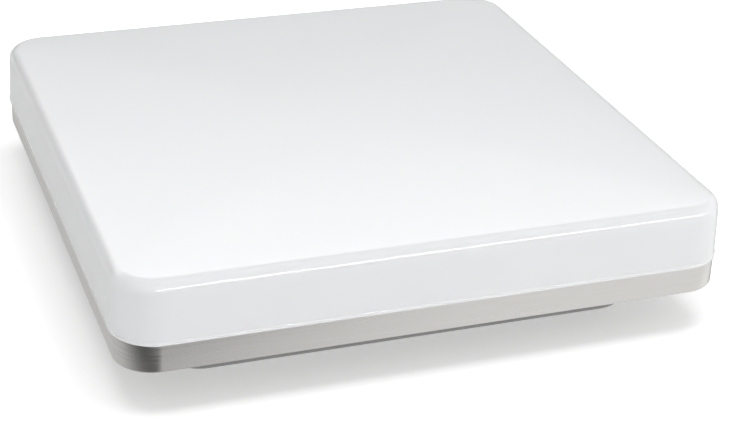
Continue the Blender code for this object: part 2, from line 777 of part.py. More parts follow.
# ---- Cover ----
def cover_surface(inset, edge, rim, top):
    """Loops of one face of the cover: up the wall, over the edge radius and across the crown."""
    half, radius = COVER_HALF - inset, COVER_RADIUS - inset
    rim_half = COVER_RIM_HALF - inset
    loops = [square(rim_half, radius + COVER_RIM_HALF - COVER_HALF, rim)]
    for step in range(COVER_EDGE_STEPS + 1):
        angle = math.radians(90 * step / COVER_EDGE_STEPS)
        pull = edge * (1 - math.cos(angle))
        loops.append(square(half - pull, radius - pull, top - edge + edge * math.sin(angle)))
    flat, flat_radius = half - edge, radius - edge
    for step in range(1, COVER_CROWN_STEPS + 1):
        share = 1 - step / (COVER_CROWN_STEPS + 0.3)
        loops.append(square(flat * share, flat_radius * share, top + COVER_CROWN * (1 - share * share)))
    return loops


def diffuser_cover(opal):
    outside = cover_surface(0, COVER_EDGE, COVER_RIM, COVER_TOP)
    inside = cover_surface(COVER_WALL, COVER_EDGE - COVER_WALL, COVER_RIM, COVER_TOP - COVER_WALL)
    loft("diffuser_cover", outside[::-1] + inside, opal)


def main():
    clear_scene()
    nickel = finish("brushed_nickel", (0.62, 0.61, 0.58), 0.32, 1.0)
    white_paint = finish("white_paint", (0.86, 0.86, 0.85), 0.45)
    grey_paint = finish("grey_paint", (0.38, 0.38, 0.375), 0.45)
    opal = finish("opal_acrylic", (0.93, 0.93, 0.94), 0.2)
    steel = finish("zinc_steel", (0.70, 0.71, 0.72), 0.35, 1.0)
    spring_steel = finish("spring_steel", (0.58, 0.59, 0.60), 0.3, 1.0)
    rubber = finish("grey_rubber", (0.20, 0.20, 0.21), 0.75)
    plastic = finish("white_plastic", (0.85, 0.85, 0.83), 0.5)
    orange = finish("orange_plastic", (0.85, 0.34, 0.06), 0.45)
    mask = finish("white_solder_mask", (0.90, 0.90, 0.87), 0.4)
    green_board = finish("green_board", (0.05, 0.28, 0.12), 0.45)
    ferrite = finish("dark_ferrite", (0.12, 0.12, 0.13), 0.6)
    sleeve = finish("capacitor_sleeve", (0.06, 0.07, 0.10), 0.35)
    brass = finish("tinned_brass", (0.75, 0.68, 0.50), 0.35, 1.0)
    brown = finish("brown_insulation", (0.28, 0.14, 0.07), 0.5)
    blue = finish("blue_insulation", (0.05, 0.20, 0.60), 0.5)
    green = finish("green_insulation", (0.12, 0.50, 0.12), 0.5)
    white_wire = finish("white_insulation", (0.85, 0.85, 0.84), 0.5)

    mounting_pan(grey_paint)
    trim_frame(nickel)
    frame_rivets(steel)
    tray_posts(steel)
    cable_grommet(rubber)
    driver_case(plastic)
    driver_lid(plastic)
    driver_inside(green_board, ferrite, sleeve)
    ear_top = DRIVER_EAR_Z[1] + GAP
    for index, centre in enumerate(driver_ears(), 1):
        screw(f"driver_screw_{index}", centre, ear_top, BOSS_FLOOR + 0.0006, 0.0014, 0.0029, steel)
    terminal_block(plastic)
    terminal_buttons(orange)
    earth_point(brass, steel, green)
    supply_leads(blue, brown)
    led_lead(white_wire)

    led_tray(white_paint)
    led_boards(mask)
    for index, centre in enumerate(board_screw_points(), 1):
        screw(f"board_screw_{index}", centre, BOARD_TOP + GAP, TRAY_BOTTOM - 0.002, 0.001, 0.0022, steel)
    for index, centre in enumerate(corners_of(POST_OFFSET), 1):
        screw(f"tray_screw_{index}", centre, TRAY_FLOOR + GAP, TRAY_BOTTOM - 0.009, 0.0019, 0.0038, steel)
    board_links(white_wire)
    tray_feed(white_wire, rubber)
    cover_clips(spring_steel)
    diffuser_cover(opal)


main()
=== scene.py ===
"""Looks for the square LED ceiling light: opal cover, satin nickel frame, grey pan and insides."""

import json
import math

import bmesh
import bpy
from mathutils import Matrix, Vector


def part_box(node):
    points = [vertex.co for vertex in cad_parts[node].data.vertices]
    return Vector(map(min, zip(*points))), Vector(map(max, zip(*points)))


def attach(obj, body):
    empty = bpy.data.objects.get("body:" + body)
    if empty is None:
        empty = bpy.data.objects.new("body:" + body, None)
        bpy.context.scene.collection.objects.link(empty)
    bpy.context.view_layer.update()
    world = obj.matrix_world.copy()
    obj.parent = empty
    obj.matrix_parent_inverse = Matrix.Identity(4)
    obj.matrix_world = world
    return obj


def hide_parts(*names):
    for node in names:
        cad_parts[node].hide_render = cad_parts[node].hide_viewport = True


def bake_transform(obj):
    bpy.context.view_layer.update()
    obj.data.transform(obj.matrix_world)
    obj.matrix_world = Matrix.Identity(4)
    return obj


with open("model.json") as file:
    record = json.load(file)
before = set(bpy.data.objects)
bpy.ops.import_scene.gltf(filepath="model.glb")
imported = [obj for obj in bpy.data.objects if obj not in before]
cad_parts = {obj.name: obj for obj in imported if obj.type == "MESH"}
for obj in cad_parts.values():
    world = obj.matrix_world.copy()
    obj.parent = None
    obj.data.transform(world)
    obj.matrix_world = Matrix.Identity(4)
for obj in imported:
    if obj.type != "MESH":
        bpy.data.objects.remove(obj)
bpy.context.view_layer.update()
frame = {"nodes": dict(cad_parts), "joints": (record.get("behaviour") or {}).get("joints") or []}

MM = 0.001
CORNER_STEPS = 14  # segments in each rounded corner
ROUND_STEPS = 32
GAP = 0.3 * MM
LED_COUNT = 11  # LEDs on each board
LED_PITCH = 24 * MM
LED_HALF = (1.75 * MM, 1.4 * MM)
BOARD_THICK = 1.2 * MM
SOCKET_X = 127.5 * MM  # centre of each board's end sockets
SOCKET_HALF = 3 * MM
LEAD_HEIGHT = 7 * MM  # of the leads where they leave the terminals
SLOT_HEIGHT = 13 * MM  # of the leads where they enter the driver
SIDES = (-1, 1)
POLES = ("earth", "neutral", "live")


# ---- Material helpers ----
class NodeTree:
    """Adds and joins nodes; the subclass gives it a tree."""

    def add(self, kind, **values):
        node = self.tree.nodes.new(kind)
        for name, value in values.items():
            if name in node.inputs:
                node.inputs[name].default_value = value
            else:
                setattr(node, name, value)
        return node

    def link(self, start, end):
        self.tree.links.new(start, end)

    def remap(self, value, start, end, low, high, **values):
        """Spreads what lies between start and end over low to high."""
        edges = {"From Min": start, "From Max": end, "To Min": low, "To Max": high}
        node = self.add("ShaderNodeMapRange", **edges, **values)
        self.link(value, node.inputs["Value"])
        return node.outputs["Result"]


class Finish(NodeTree):
    """A Principled material and helpers for its procedural detail."""

    def __init__(self, name, colour, roughness, **sockets):
        self.material = bpy.data.materials.new(name)
        self.material.use_nodes = True
        self.tree = self.material.node_tree
        self.shader = self.tree.nodes["Principled BSDF"]
        sockets = {"Base Color": (*colour, 1), "Roughness": roughness, **sockets}
        for socket, value in sockets.items():
            self.shader.inputs[socket.replace("_", " ")].default_value = value
        self.material.diffuse_color = (*colour, 1)

    def coordinates(self, stretch=(1, 1, 1), source="Object"):
        place = self.add("ShaderNodeMapping", Scale=stretch)
        self.link(self.add("ShaderNodeTexCoord").outputs[source], place.inputs["Vector"])
        return place.outputs["Vector"]

    def noise(self, scale, detail=3.0, stretch=(1, 1, 1), source="Object", roughness=0.55):
        node = self.add("ShaderNodeTexNoise", Scale=scale, Detail=detail, Roughness=roughness)
        self.link(self.coordinates(stretch, source), node.inputs["Vector"])
        return node.outputs["Fac"]

    def tint(self, value, first, second, start=0.3, end=0.7):
        """Mixes two colours by a value and paints the surface with them."""
        mix = self.add("ShaderNodeMix", data_type="RGBA")
        self.link(self.remap(value, start, end, 0, 1), mix.inputs["Factor"])
        for socket, colour in (("A", first), ("B", second)):
            colours = (i for i in mix.inputs if i.name == socket and i.type == "RGBA")
            next(colours).default_value = (*colour, 1)
        self.link(next(o for o in mix.outputs if o.type == "RGBA"), self.shader.inputs["Base Color"])

    def polish(self, value, low, high):
        self.link(self.remap(value, 0.3, 0.7, low, high), self.shader.inputs["Roughness"])

    def bump(self, height, depth, strength=1.0):
        node = self.add("ShaderNodeBump", Strength=strength, Distance=depth)
        self.link(height, node.inputs["Height"])
        if self.shader.inputs["Normal"].is_linked:
            self.link(self.shader.inputs["Normal"].links[0].from_socket, node.inputs["Normal"])
        self.link(node.outputs["Normal"], self.shader.inputs["Normal"])


# ---- Materials ----
def opal_acrylic():
    """Milky glossy acrylic: light spreads a few millimetres under a moulded, faintly wavy skin."""
    made = Finish("opal_acrylic", (0.845, 0.852, 0.862), 0.08, IOR=1.49, Subsurface_Weight=0.35,
                  Subsurface_Radius=(1.0, 0.98, 0.96), Subsurface_Scale=0.006)
    made.tint(made.noise(9, 2), (0.838, 0.845, 0.856), (0.852, 0.859, 0.868))
    made.polish(made.noise(60, 4), 0.065, 0.09)
    made.bump(made.noise(14, 1), 0.04 * MM, 0.3)
    made.bump(made.noise(420, 3), 0.004 * MM, 0.4)
    return made.material


def satin_nickel():
    """Nickel plate brushed along the band: long streaks that follow it round the corners."""
    made = Finish("satin_nickel", (0.7, 0.69, 0.67), 0.3, Metallic=1.0,
                  Anisotropic=0.65, Anisotropic_Rotation=0.25)
    streaks = made.noise(1, 5, (26, 5200, 1), "UV", 0.7)
    broad = made.noise(1, 2, (7, 900, 1), "UV")
    made.tint(streaks, (0.64, 0.63, 0.61), (0.76, 0.75, 0.73), 0.25, 0.75)
    made.polish(broad, 0.26, 0.36)
    made.bump(streaks, 0.006 * MM, 0.35)
    tangent = made.add("ShaderNodeTangent", direction_type="UV_MAP", uv_map="Band")
    made.link(tangent.outputs["Tangent"], made.shader.inputs["Tangent"])
    return made.material


def spring_steel():
    """Bare strip with the lines that rolling leaves."""
    made = Finish("spring_steel", (0.55, 0.56, 0.57), 0.33, Metallic=1.0)
    rolled = made.noise(1, 4, (4200, 4200, 180))
    made.tint(rolled, (0.5, 0.51, 0.52), (0.6, 0.61, 0.62))
    made.polish(rolled, 0.28, 0.38)
    made.bump(rolled, 0.002 * MM, 0.3)
    return made.material


def circuit_green():
    """Green mask with the faint lines of the tracks under it."""
    made = Finish("circuit_green", (0.03, 0.19, 0.08), 0.32)
    tracks = made.add("ShaderNodeTexWave", Scale=180, Distortion=1.5, Detail=0)
    made.link(made.coordinates(), tracks.inputs["Vector"])
    made.tint(tracks.outputs["Fac"], (0.02, 0.15, 0.06), (0.04, 0.25, 0.1), 0.75, 0.9)
    made.polish(made.noise(400, 3), 0.25, 0.42)
    made.bump(tracks.outputs["Fac"], 0.02 * MM, 0.4)
    return made.material


def earth_insulation():
    """Green with one yellow stripe down each side."""
    made = Finish("green_yellow", (0.05, 0.33, 0.06), 0.42)
    stripe = made.add("ShaderNodeTexWave", Scale=1.0, Distortion=0.15, Detail=1.0)
    made.link(made.coordinates((0, 2, 0), "UV"), stripe.inputs["Vector"])
    stripe.bands_direction = "Y"
    made.tint(stripe.outputs["Fac"], (0.05, 0.33, 0.06), (0.82, 0.66, 0.04), 0.55, 0.62)
    made.polish(made.noise(500, 3), 0.34, 0.5)
    made.bump(made.noise(900, 3), 0.02 * MM, 0.4)
    return made.material


def even(name, dark, light, rough, scales, depth, strength=0.4, **sockets):
    """An even finish: noise at three scales varies its colour, its gloss and the height of its skin."""
    made = Finish(name, light, sum(rough) / 2, **sockets)
    made.tint(made.noise(scales[0], 3), dark, light)
    made.polish(made.noise(scales[1], 3), *rough)
    made.bump(made.noise(scales[2], 2), depth * MM, strength)
    return made.material


def powder_coat(name, dark, light):
    """A fine orange-peel skin."""
    return even(name, dark, light, (0.38, 0.54), (35, 220, 750), 0.035, 0.45)


def moulded(name, dark, light, rough):
    """Plastic with a fine spark-eroded texture."""
    return even(name, dark, light, rough, (120, 600, 1300), 0.02, 0.45)


def solder_mask(name, dark, light):
    return even(name, dark, light, (0.38, 0.46), (180, 350, 700), 0.006, 0.25)


def insulation(name, dark, light):
    """Extruded PVC."""
    return even(name, dark, light, (0.34, 0.5), (260, 500, 900), 0.02)


OPAL = opal_acrylic()
NICKEL = satin_nickel()
SPRING = spring_steel()
GREEN_BOARD = circuit_green()
EARTH_WIRE = earth_insulation()
PAINT = powder_coat("white_paint", (0.785, 0.785, 0.775), (0.82, 0.82, 0.812))
# Grey paint for the pan, darkened to stand in for the shade under the frame: part paint colour, part painted
# shade
GREY_WITH_PAINTED_SHADE = powder_coat("grey_paint", (0.33, 0.33, 0.325), (0.37, 0.37, 0.365))
ZINC = even("zinc_steel", (0.61, 0.62, 0.64), (0.7, 0.7, 0.69), (0.28, 0.4), (420, 900, 2600), 0.003,
            Metallic=1.0)
RUBBER = even("grey_rubber", (0.06, 0.06, 0.064), (0.1, 0.1, 0.104), (0.62, 0.84), (300, 500, 1500), 0.02)
PLASTIC = moulded("white_plastic", (0.735, 0.735, 0.715), (0.765, 0.765, 0.745), (0.42, 0.56))
ORANGE = moulded("orange_plastic", (0.72, 0.2, 0.02), (0.85, 0.28, 0.04), (0.3, 0.42))
NYLON = moulded("socket_nylon", (0.8, 0.79, 0.74), (0.86, 0.85, 0.8), (0.35, 0.48))
MASK = solder_mask("solder_mask", (0.8, 0.8, 0.785), (0.82, 0.82, 0.805))
TRACK = solder_mask("mask_over_copper", (0.73, 0.72, 0.68), (0.76, 0.75, 0.71))
PHOSPHOR = even("phosphor", (0.8, 0.58, 0.09), (0.93, 0.78, 0.26), (0.25, 0.45), (5200, 3000, 5200), 0.01)
PAD = even("tinned_pad", (0.68, 0.67, 0.65), (0.84, 0.83, 0.8), (0.2, 0.42), (2200, 2600, 1800), 0.03,
           Metallic=1.0)
FERRITE = even("ferrite", (0.035, 0.035, 0.04), (0.075, 0.075, 0.08), (0.45, 0.68), (700, 900, 1400), 0.05)
SLEEVE = even("capacitor_sleeve", (0.015, 0.02, 0.035), (0.035, 0.04, 0.06), (0.22, 0.38), (90, 300, 220),
              0.05)
BRASS = even("tinned_brass", (0.7, 0.68, 0.6), (0.66, 0.52, 0.3), (0.22, 0.42), (500, 900, 1600), 0.01,
             Metallic=1.0)
BLUE = insulation("blue_pvc", (0.02, 0.09, 0.36), (0.03, 0.12, 0.44))
BROWN = insulation("brown_pvc", (0.13, 0.06, 0.03), (0.18, 0.08, 0.04))
WHITE_WIRE = insulation("white_pvc", (0.7, 0.7, 0.69), (0.78, 0.78, 0.77))


# ---- Shape helpers ----
def rounded(half_x, half_y, radius, z, centre=(0, 0), steps=CORNER_STEPS):
    """A level loop with rounded corners, anticlockwise seen from above."""
    points = []
    for turn, (side_x, side_y) in enumerate(((1, 1), (-1, 1), (-1, -1), (1, -1))):
        for step in range(steps + 1):
            angle = math.radians(90 * (turn + step / steps))
            x = centre[0] + side_x * (half_x - radius) + radius * math.cos(angle)
            y = centre[1] + side_y * (half_y - radius) + radius * math.sin(angle)
            points.append((x, y, z))
    return points


def square(half, radius, z):
    return rounded(half, half, radius, z)


def inset(half, pull, radius, z, centre, steps=6):
    """A rounded loop drawn in by pull all round."""
    return rounded(half[0] - pull, half[1] - pull, radius, z, centre, steps)


def mm(*lengths):
    """Lengths or tuples of lengths, given in millimetres."""
    return tuple(mm(*item) if isinstance(item, tuple) else item * MM for item in lengths)


def slab(x, y, half_x, half_y, bottom, top):
    """Opposite corners of a block centred on x and y."""
    return (x - half_x, y - half_y, bottom), (x + half_x, y + half_y, top)


def circle(radius, z, centre=(0, 0), steps=ROUND_STEPS):
    angles = (math.tau * step / steps for step in range(steps))
    return [(centre[0] + radius * math.cos(a), centre[1] + radius * math.sin(a), z) for a in angles]


def quarter(steps, first=0):
    """Pairs (1 - cos, 1 - sin) round a quarter turn, from upright to level."""
    turns = (math.pi / 2 * step / steps for step in range(first, steps + 1))
    return [(1 - math.cos(turn), 1 - math.sin(turn)) for turn in turns]


def fillet(corner, before, after, radius, steps):
    """Points that round one corner of a profile."""
    corner, before, after = Vector(corner), Vector(before), Vector(after)
    to_before, to_after = (before - corner).normalized(), (after - corner).normalized()
    half = to_before.angle(to_after) / 2
    reach = radius / math.tan(half)
    centre = corner + (to_before + to_after).normalized() * (radius / math.sin(half))
    start, end = corner + to_before * reach - centre, corner + to_after * reach - centre
    sweep = start.angle(end)
    points = []
    for step in range(steps + 1):
        share = step / steps
        first, second = math.sin((1 - share) * sweep), math.sin(share * sweep)
        points.append(tuple(centre + (start * first + end * second) / math.sin(sweep)))
    return points


def soften(profile, radii, steps=4, closed=True):
    """A profile with each corner rounded by its own radius; 0 leaves it sharp."""
    count = len(profile)
    points = []
    for index, (corner, radius) in enumerate(zip(profile, radii)):
        if radius and (closed or 0 < index < count - 1):
            points += fillet(corner, profile[index - 1], profile[(index + 1) % count], radius, steps)
        else:
            points.append(tuple(corner))
    return points


def running(verts):
    """How far along a chain each of its vertices lies."""
    reach = [0.0]
    for before, after in zip(verts, verts[1:]):
        reach.append(reach[-1] + (after.co - before.co).length)
    return reach


def lay_band(bm, rows, faces_by_row):
    """UVs in metres: u along each loop and v along the profile."""
    layer = bm.loops.layers.uv.new("Band")
    along, across = running(rows[0] + rows[0][:1]), running([row[0] for row in rows])
    for row, faces in enumerate(faces_by_row):
        for i, face in enumerate(faces):
            corners = ((i, row), (i + 1, row), (i + 1, row + 1), (i, row + 1))
            for loop, (u, v) in zip(face.loops, corners):
                loop[layer].uv = (along[u], across[v])


def add_loft(bm, loops, ring=False, band=False):
    """Skins loops of equal count. A ring closes on its first loop; otherwise both ends are capped."""
    rows = [[bm.verts.new(point) for point in loop] for loop in loops]
    if ring:
        rows.append(rows[0])
    faces_by_row = []
    for low, high in zip(rows, rows[1:]):
        corners = zip(low, low[1:] + low[:1], high[1:] + high[:1], high)
        faces_by_row.append([bm.faces.new(four) for four in corners])
    if band:
        lay_band(bm, rows, faces_by_row)
    if not ring:
        bm.faces.new(rows[0][::-1])
        bm.faces.new(rows[-1])


def add_block(bm, low, high, bevel=0.0, segments=2):
    low, high = Vector(low), Vector(high)
    shape = Matrix.Translation((low + high) / 2) @ Matrix.Diagonal((*(high - low), 1))
    made = bmesh.ops.create_cube(bm, size=1, matrix=shape)
    if bevel:
        edges = list({edge for vert in made["verts"] for edge in vert.link_edges})
        bmesh.ops.bevel(bm, geom=edges, offset=bevel, segments=segments, profile=0.5, affect="EDGES")


def add_object(name, data):
    obj = bpy.data.objects.new(name, data)
    bpy.context.scene.collection.objects.link(obj)
    return obj


def place(name, bm, *materials, sharp=40):
    bmesh.ops.recalc_face_normals(bm, faces=bm.faces)
    mesh = bpy.data.meshes.new(name)
    bm.to_mesh(mesh)
    bm.free()
    mesh.shade_smooth()
    mesh.set_sharp_from_angle(angle=math.radians(sharp))
    for material in materials:
        mesh.materials.append(material)
    return add_object(name, mesh)


def loft(name, loops, *materials, ring=False, band=False, sharp=40):
    bm = bmesh.new()
    add_loft(bm, loops, ring, band)
    return place(name, bm, *materials, sharp=sharp)


def lathe(name, profile, *materials, centre=(0, 0), ring=False, steps=ROUND_STEPS):
    """Turns (radius, height) points about the vertical line through centre."""
    return loft(name, [circle(r, z, centre, steps) for r, z in profile], *materials, ring=ring)


def rods(name, centres, radius, bottom, top):
    bm = bmesh.new()
    for centre in centres:
        add_loft(bm, [circle(radius, z, centre) for z in (bottom, top)])
    return place(name, bm)


def blocks(name, corners, *materials, bevel=0.0):
    bm = bmesh.new()
    for low, high in corners:
        add_block(bm, low, high, bevel)
    return place(name, bm, *materials)


def combine(obj, operation, *helpers):
    """Applies a Boolean with each helper in turn, then removes the helpers."""
    for helper in helpers:
        modifier = obj.modifiers.new(helper.name, "BOOLEAN")
        modifier.operation = operation
        modifier.solver = "EXACT"
        modifier.object = helper
    bpy.context.view_layer.update()
    mesh = bpy.data.meshes.new_from_object(obj.evaluated_get(bpy.context.evaluated_depsgraph_get()))
    obj.modifiers.clear()
    obj.data = mesh
    for helper in helpers:
        bpy.data.objects.remove(helper)
    mesh.set_sharp_from_angle(angle=math.radians(40))


def cut(obj, *helpers):
    combine(obj, "DIFFERENCE", *helpers)


def fuse(obj, *helpers):
    combine(obj, "UNION", *helpers)


def smooth_path(points, per_span=7):
    """A curve through the points, with even turns."""
    points = [Vector(p) for p in points]
    ends = [2 * points[0] - points[1], *points, 2 * points[-1] - points[-2]]
    path = []
    for a, b, c, d in zip(ends, ends[1:], ends[2:], ends[3:]):
        for step in range(per_span):
            t = step / per_span
            bend = (2 * a - 5 * b + 4 * c - d) * t * t + (3 * b - a - 3 * c + d) * t ** 3
            path.append((2 * b + (c - a) * t + bend) / 2)
    path.append(points[-1])
    return path


def sweep(name, path, section, *materials):
    """Carries a closed section along a path without twisting it."""
    side = None
    loops = []
    for i, point in enumerate(path):
        ahead = (path[min(i + 1, len(path) - 1)] - path[max(i - 1, 0)]).normalized()
        if side is None:
            side = ahead.cross((0, 0, 1)) if abs(ahead.z) < 0.9 else ahead.cross((0, 1, 0))
        side = (side - ahead * side.dot(ahead)).normalized()
        up = ahead.cross(side)
        loops.append([point + side * x + up * y for x, y in section])
    return loft(name, loops, *materials, band=True)


def round_section(radius, steps=16):
    return [(x, y) for x, y, _ in circle(radius, 0, steps=steps)]


def twin_section(radius, offset, steps=24):
    """The outline of two cores side by side."""
    points = []
    for step in range(steps):
        a = math.tau * step / steps
        reach = offset * abs(math.cos(a)) + math.sqrt(radius ** 2 - (offset * math.sin(a)) ** 2)
        points.append((reach * math.cos(a), reach * math.sin(a)))
    return points


def stand_for(obj, body, slot, *cad):
    """Rides on a body and replaces CAD nodes; slot is not used."""
    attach(obj, body)
    if cad:
        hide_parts(*cad)


def centre_of(node):
    low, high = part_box(node)
    return (low + high) / 2


def spot_of(node):
    return tuple(centre_of(node).xy)


def places_of(stem, count):
    return [spot_of(f"{stem}_{index}") for index in range(1, count + 1)]


def halves(low, high):
    return (high.x - low.x) / 2, (high.y - low.y) / 2


# ---- Cover ----
class CoverShape:
    """The cover's two skins share their edge and crown, one wall thickness apart."""

    corner = 20.5 * MM
    wall = 2.3 * MM
    edge = 6 * MM
    crown = 1 * MM
    lip = 0.3 * MM  # the bead round the rim stands this far proud
    lip_height = 1.7 * MM

    def __init__(self):
        low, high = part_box("diffuser_cover")
        self.rim_half, self.rim, self.top = high.x, low.z, high.z - self.crown
        self.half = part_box("trim_frame")[1].x

    def loop(self, out, z):
        return square(out, self.corner + out - self.half, z)

    def wall_at(self, z):
        """How far out the drafted wall stands at a height."""
        foot = self.rim_half - self.lip
        share = (z - self.rim) / (self.top - self.edge - self.rim)
        return foot + (self.half - foot) * share

    def upper(self, inward, drop):
        """Loops from the bead up the wall, round the edge and over the crown."""
        edge, top = self.edge - inward, self.top - drop
        start = self.rim + self.lip_height
        foot = start + 0.4 * MM  # keeps the bead's shading off the wall
        heights = [start] + [foot + (top - edge - foot) * step / 4 for step in range(5)]
        loops = [self.loop(self.wall_at(z) - inward, z) for z in heights]
        for pull, fall in quarter(14, 1):
            loops.append(self.loop(self.half - inward - edge * pull, top - edge * fall))
        flat, corner = self.half - inward - edge, self.corner - inward - edge
        steps = 14
        for step in range(1, steps + 1):
            share = 1 - step / (steps + 0.4)
            loops.append(square(flat * share, corner * share, top + self.crown * (1 - share ** 2)))
        return loops

    def bead(self):
        """The rim's rounded bead, from the outer wall round to the inner wall."""
        joint, foot = self.rim + self.lip_height, self.rim
        outer, inner = self.rim_half, self.rim_half - self.lip - self.wall
        profile = [(self.wall_at(joint), joint), (outer, joint - 0.35 * MM), (outer, foot), (inner, foot),
                   (inner, joint)]
        points = soften(profile, (0, 0.22 * MM, 0.35 * MM, 0.3 * MM, 0), closed=False)
        return [self.loop(out, z) for out, z in points[1:-1]]


def build_cover():
    shape = CoverShape()
    loops = shape.upper(0, 0)[::-1] + shape.bead() + shape.upper(shape.wall, shape.wall)
    cover = loft("cover_shell", loops, OPAL, sharp=50)
    stand_for(cover, "cover", "opal_acrylic", "diffuser_cover")


# ---- Housing: frame and pan ----
def build_frame():
    """The C-section band with small rolled edges, and its holes for the rivets."""
    low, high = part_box("trim_frame")
    half = high.x
    corner, gauge, shelf, opening, opening_corner = mm(19, 1, 6.5, 119.5, 17)
    ledge, ledge_corner = half - shelf, corner - shelf

    def loop(out, z):
        if out >= ledge:
            return square(out, corner - (half - out), z)
        share = (ledge - out) / (ledge - opening)
        return square(out, ledge_corner + (opening_corner - ledge_corner) * share, z)

    inner, under, over = half - gauge, high.z - gauge, low.z + gauge
    profile = [(half, low.z), (half, high.z), (ledge, high.z), (ledge, under),
               (inner, under), (inner, over), (opening, over), (opening, low.z)]
    radii = mm(1.1, 0.3, 0.3, 0.3, 0.2, 0.2, 0.3, 0.3)
    loops = [loop(out, z) for out, z in soften(profile, radii)]
    band = loft("frame_band", loops, NICKEL, ring=True, band=True)
    cut(band, rods("rivet_holes", places_of("frame_rivet", 4), 1.9 * MM, low.z - MM, low.z + 2 * MM))
    stand_for(band, "housing", "satin_nickel", "trim_frame")


def keyhole_loop(y, z):
    """A round hole for the screw head, and a slot along +X for its shank."""
    head, slot, travel = mm(4.5, 2.6, 6)
    start = math.asin(slot / head)
    arcs = (-travel, head, start, math.tau - start, 24), (travel, slot, -math.pi / 2, math.pi / 2, 12)
    points = []
    for x, radius, first, last, steps in arcs:
        for step in range(steps + 1):
            a = first + (last - first) * step / steps
            points.append((x + radius * math.cos(a), y + radius * math.sin(a), z))
    return points


BOSS = mm((4.6, 0.4), (4.4, 1.1), (4.0, 1.6), (4.0, 4.7), (3.7, 5.0))


def build_pan():
    """Pressed pan with a stiffening bead round its back, a dished cable entry and threaded bosses."""
    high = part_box("mounting_pan")[1]
    flange = high.x
    half, corner, flange_corner, gauge = mm(118.5, 16, 25, 0.8)
    bead = mm((3, 0), (60, 0), (105, 0), (106.4, 0.8), (110.6, 0.8), (112, 0))
    skin = [*bead, (half, 0), (half, high.z - gauge), (flange, high.z - gauge)]
    outside = soften(skin, mm(0, 0, 1.2, 1.2, 1.2, 1.2, 3, 0.5, 0), steps=6, closed=False)
    inner = [(flange, high.z), (half - gauge, high.z), (half - gauge, gauge)]
    inner += [(out, z + gauge) for out, z in bead[::-1]]
    inside = soften(inner, mm(0, 1.3, 2.2, 1.2, 1.2, 1.2, 1.2, 0, 0), steps=6, closed=False)

    def loop(out, z):
        if out > half:
            share = (out - half) / (flange - half)
            return square(out, corner + (flange_corner - corner) * share, z)
        return square(out, max(corner * out / half, corner - (half - out)), z)

    # The pan's grey is partly painted shade, darkened for its strip under the frame
    pan = loft("pan_shell", [loop(out, z) for out, z in outside + inside], GREY_WITH_PAINTED_SHADE)
    entry = spot_of("cable_grommet")
    bosses = [*places_of("driver_screw", 2), spot_of("earth_screw")]
    dish = lathe("dish", mm((16.3, 0.4), (15.9, 2.16), (15.3, 2.4)), centre=entry)
    fuse(pan, dish, *[lathe("boss", BOSS, centre=boss) for boss in bosses])
    recess = lathe("recess", mm((15.3, -1), (15.3, 0.1), (14.4, 1.6)), centre=entry)
    keyholes = [loft("keyhole", [keyhole_loop(y, -MM), keyhole_loop(y, 2 * MM)]) for y in mm(-98, 98)]
    cut(pan, recess, rods("entry", [entry], 9 * MM, -MM, 4 * MM),
        rods("boss_holes", bosses, 1.8 * MM, 1.2 * MM, 6 * MM),
        rods("rivet_holes", places_of("frame_rivet", 4), 1.9 * MM, high.z - 2 * MM, high.z + MM), *keyholes)
    stand_for(pan, "housing", "grey_paint", "mounting_pan")


def build_rivets():
    """Domed blind rivets with the dimple that the broken mandrel leaves."""
    for index, centre in enumerate(places_of("frame_rivet", 4), 1):
        node = f"frame_rivet_{index}"
        low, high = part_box(node)
        head, under, over = halves(low, high)[0], low.z + 1.3 * MM, high.z - 2 * MM
        profile = [(0.3 * MM, low.z + 0.45 * MM), (0.8 * MM, low.z + 0.4 * MM), (MM, low.z)]
        dome = (under - low.z) * 0.96
        for rise, pull in quarter(6, 1):
            profile.append((head - (head - MM) * pull, under - dome * (1 - rise)))
        profile += [(head, under), (1.6 * MM, under), (1.6 * MM, over), (2.4 * MM, over)]
        for pull, drop in quarter(6, 1):
            profile.append((2.8 * MM - 2.6 * MM * pull, over + 1.9 * MM - 1.5 * MM * drop))
        rivet = lathe(f"rivet_{index}", profile, ZINC, centre=centre)
        stand_for(rivet, "housing", "zinc_steel", node)


def build_posts():
    """Hexagonal posts with turned ends and a threaded bore."""
    for index, centre in enumerate(places_of("tray_post", 4), 1):
        node = f"tray_post_{index}"
        low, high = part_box(node)
        across = halves(low, high)[0]
        ends = [(0.90, low.z), (1.0, low.z + 0.4 * MM), (1.0, high.z - 0.4 * MM), (0.90, high.z)]
        post = loft(f"post_{index}", [circle(across * s, z, centre, 6) for s, z in ends], ZINC)
        cut(post, rods("bore", [centre], 2.3 * MM, low.z + 1.5 * MM, high.z + MM))
        stand_for(post, "housing", "zinc_steel", node)


def build_cable_grommet():
    low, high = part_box("cable_grommet")
    profile = [(5.0, 0.0), (11.8, 0.0), (11.8, 1.0), (8.6, 1.0), (8.6, 2.4), (11.8, 2.4), (11.8, 3.6),
               (8.6, 4.4), (6.6, 7.6), (5.0, 7.6)]
    radii = mm(0.4, 0.35, 0.3, 0.1, 0.1, 0.3, 0.5, 0.9, 0.6, 0.5)
    scale = (high.z - low.z) / profile[-1][1]
    points = soften([(r * MM, low.z + z * scale) for r, z in profile], radii)
    collar = lathe("cable_collar", points, RUBBER, centre=spot_of("cable_grommet"), ring=True, steps=48)
    stand_for(collar, "housing", "grey_rubber", "cable_grommet")


